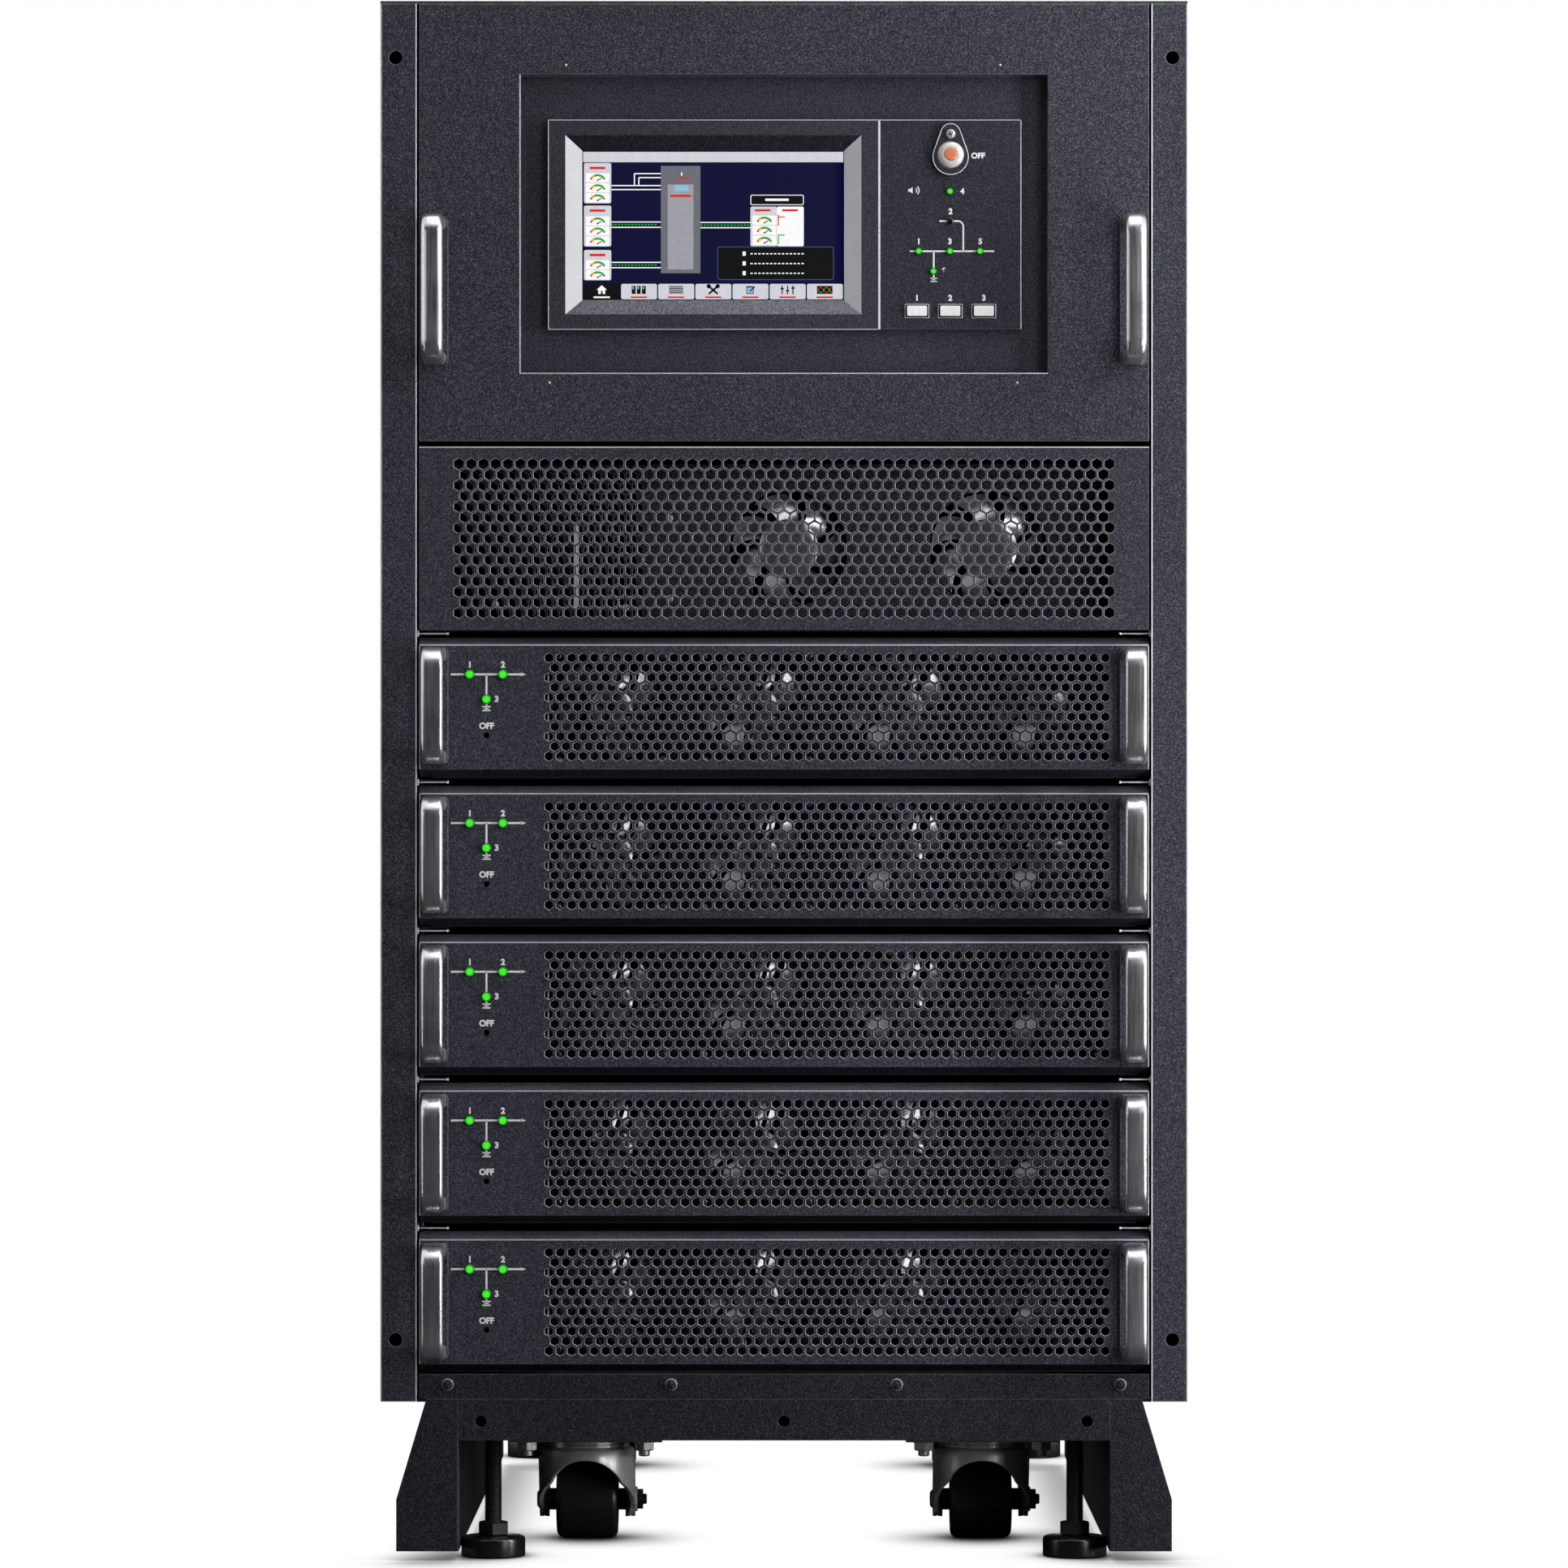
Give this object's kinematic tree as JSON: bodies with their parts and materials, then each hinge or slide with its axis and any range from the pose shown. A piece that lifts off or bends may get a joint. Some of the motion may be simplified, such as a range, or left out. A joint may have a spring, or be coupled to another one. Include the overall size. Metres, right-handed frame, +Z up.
{
  "type": "modular ups cabinet",
  "caption": "Floor-standing modular power cabinet with a header display, a perforated fan section, pull-out power modules, casters and levelling feet.",
  "frame": {"origin": "on the floor under the middle of the cabinet, handles included", "axes": "+Z up, front towards -Y, +X to the viewer's right when looking at the front"},
  "size_m": [0.538, 0.788, 1.04],
  "materials": {
    "powder_coat": "fine textured dark blue-grey powder coat",
    "panel_dark": "satin dark grey",
    "plated_steel": "zinc plated sheet steel",
    "handle_metal": "satin grey anodised",
    "screen_glass": "gloss display cover",
    "fan_plastic": "black moulded plastic",
    "fork_steel": "dark satin pressed steel",
    "wheel_black": "black nylon tread",
    "foot_black": "black moulded pad with a steel stud",
    "button_white": "gloss white dome with an orange core",
    "key_white": "satin white key"
  },
  "bodies": {
    "cabinet": {"side_panel_left": "powder_coat", "side_panel_right": "powder_coat", "chassis_walls": "plated_steel", "top_cover": "powder_coat", "floor_tray": "powder_coat", "rear_panel": "powder_coat", "header_panel": "powder_coat", "header_recess_pan": "panel_dark", "header_handles": "handle_metal", "display_bezel": "panel_dark", "display_screen": "screen_glass", "control_panel": "panel_dark", "epo_guard": "panel_dark", "fan_section_grille": "powder_coat", "fan_section_plate": "plated_steel", "header_fan_frames": "fan_plastic", "guide_rails": "plated_steel", "lower_cross_rail": "powder_coat", "base_skirt": "powder_coat", "base_side_plate_left": "powder_coat", "base_side_plate_right": "powder_coat", "caster_plates": "plated_steel", "levelling_feet": "foot_black"},
    "module_1": {"module_1_front": "powder_coat", "module_1_handles": "handle_metal", "module_1_case": "plated_steel", "module_1_fan_rotors": "fan_plastic"},
    "module_2": {"module_2_front": "powder_coat", "module_2_handles": "handle_metal", "module_2_case": "plated_steel", "module_2_fan_rotors": "fan_plastic"},
    "module_3": {"module_3_front": "powder_coat", "module_3_handles": "handle_metal", "module_3_case": "plated_steel", "module_3_fan_rotors": "fan_plastic"},
    "module_4": {"module_4_front": "powder_coat", "module_4_handles": "handle_metal", "module_4_case": "plated_steel", "module_4_fan_rotors": "fan_plastic"},
    "module_5": {"module_5_front": "powder_coat", "module_5_handles": "handle_metal", "module_5_case": "plated_steel", "module_5_fan_rotors": "fan_plastic"},
    "caster_front_left": {"caster_fork_front_left": "fork_steel"},
    "wheel_front_left": {"caster_wheel_front_left": "wheel_black"},
    "caster_front_right": {"caster_fork_front_right": "fork_steel"},
    "wheel_front_right": {"caster_wheel_front_right": "wheel_black"},
    "caster_rear_left": {"caster_fork_rear_left": "fork_steel"},
    "wheel_rear_left": {"caster_wheel_rear_left": "wheel_black"},
    "caster_rear_right": {"caster_fork_rear_right": "fork_steel"},
    "wheel_rear_right": {"caster_wheel_rear_right": "wheel_black"},
    "header_fan_left": {"header_fan_rotor_left": "fan_plastic"},
    "header_fan_right": {"header_fan_rotor_right": "fan_plastic"},
    "emergency_button": {"epo_button": "button_white"},
    "inverter_button": {"inverter_key": "key_white"},
    "bypass_button": {"bypass_key": "key_white"},
    "mute_button": {"mute_key": "key_white"}
  },
  "joints": [
    {"name": "module_1_slide", "type": "slide", "parent": "cabinet", "child": "module_1", "axis": [0, -1, 0], "range_m": [0, 0.62]},
    {"name": "module_2_slide", "type": "slide", "parent": "cabinet", "child": "module_2", "axis": [0, -1, 0], "range_m": [0, 0.62]},
    {"name": "module_3_slide", "type": "slide", "parent": "cabinet", "child": "module_3", "axis": [0, -1, 0], "range_m": [0, 0.62]},
    {"name": "module_4_slide", "type": "slide", "parent": "cabinet", "child": "module_4", "axis": [0, -1, 0], "range_m": [0, 0.62]},
    {"name": "module_5_slide", "type": "slide", "parent": "cabinet", "child": "module_5", "axis": [0, -1, 0], "range_m": [0, 0.62]},
    {"name": "caster_front_left_swivel", "type": "hinge", "parent": "cabinet", "child": "caster_front_left", "pos_m": [-0.1355, -0.23, 0.065], "axis": [0, 0, 1], "continuous": true},
    {"name": "wheel_front_left_spin", "type": "hinge", "parent": "caster_front_left", "child": "wheel_front_left", "pos_m": [-0.1355, -0.212, 0.0265], "axis": [1, 0, 0], "continuous": true},
    {"name": "caster_front_right_swivel", "type": "hinge", "parent": "cabinet", "child": "caster_front_right", "pos_m": [0.1355, -0.23, 0.065], "axis": [0, 0, 1], "continuous": true},
    {"name": "wheel_front_right_spin", "type": "hinge", "parent": "caster_front_right", "child": "wheel_front_right", "pos_m": [0.1355, -0.212, 0.0265], "axis": [1, 0, 0], "continuous": true},
    {"name": "caster_rear_left_swivel", "type": "hinge", "parent": "cabinet", "child": "caster_rear_left", "pos_m": [-0.1355, 0.268, 0.065], "axis": [0, 0, 1], "continuous": true},
    {"name": "wheel_rear_left_spin", "type": "hinge", "parent": "caster_rear_left", "child": "wheel_rear_left", "pos_m": [-0.1355, 0.286, 0.0265], "axis": [1, 0, 0], "continuous": true},
    {"name": "caster_rear_right_swivel", "type": "hinge", "parent": "cabinet", "child": "caster_rear_right", "pos_m": [0.1355, 0.268, 0.065], "axis": [0, 0, 1], "continuous": true},
    {"name": "wheel_rear_right_spin", "type": "hinge", "parent": "caster_rear_right", "child": "wheel_rear_right", "pos_m": [0.1355, 0.286, 0.0265], "axis": [1, 0, 0], "continuous": true},
    {"name": "header_fan_left_spin", "type": "hinge", "parent": "cabinet", "child": "header_fan_left", "pos_m": [0.003, -0.306, 0.677], "axis": [0, 1, 0], "continuous": true},
    {"name": "header_fan_right_spin", "type": "hinge", "parent": "cabinet", "child": "header_fan_right", "pos_m": [0.137, -0.306, 0.677], "axis": [0, 1, 0], "continuous": true},
    {"name": "epo_button_press", "type": "slide", "parent": "cabinet", "child": "emergency_button", "axis": [0, 1, 0], "range_m": [0, 0.0025], "stiffness_N_per_m": 1200},
    {"name": "inverter_key_press", "type": "slide", "parent": "cabinet", "child": "inverter_button", "axis": [0, 1, 0], "range_m": [0, 0.0014], "stiffness_N_per_m": 800},
    {"name": "bypass_key_press", "type": "slide", "parent": "cabinet", "child": "bypass_button", "axis": [0, 1, 0], "range_m": [0, 0.0014], "stiffness_N_per_m": 800},
    {"name": "mute_key_press", "type": "slide", "parent": "cabinet", "child": "mute_button", "axis": [0, 1, 0], "range_m": [0, 0.0014], "stiffness_N_per_m": 800}
  ]
}
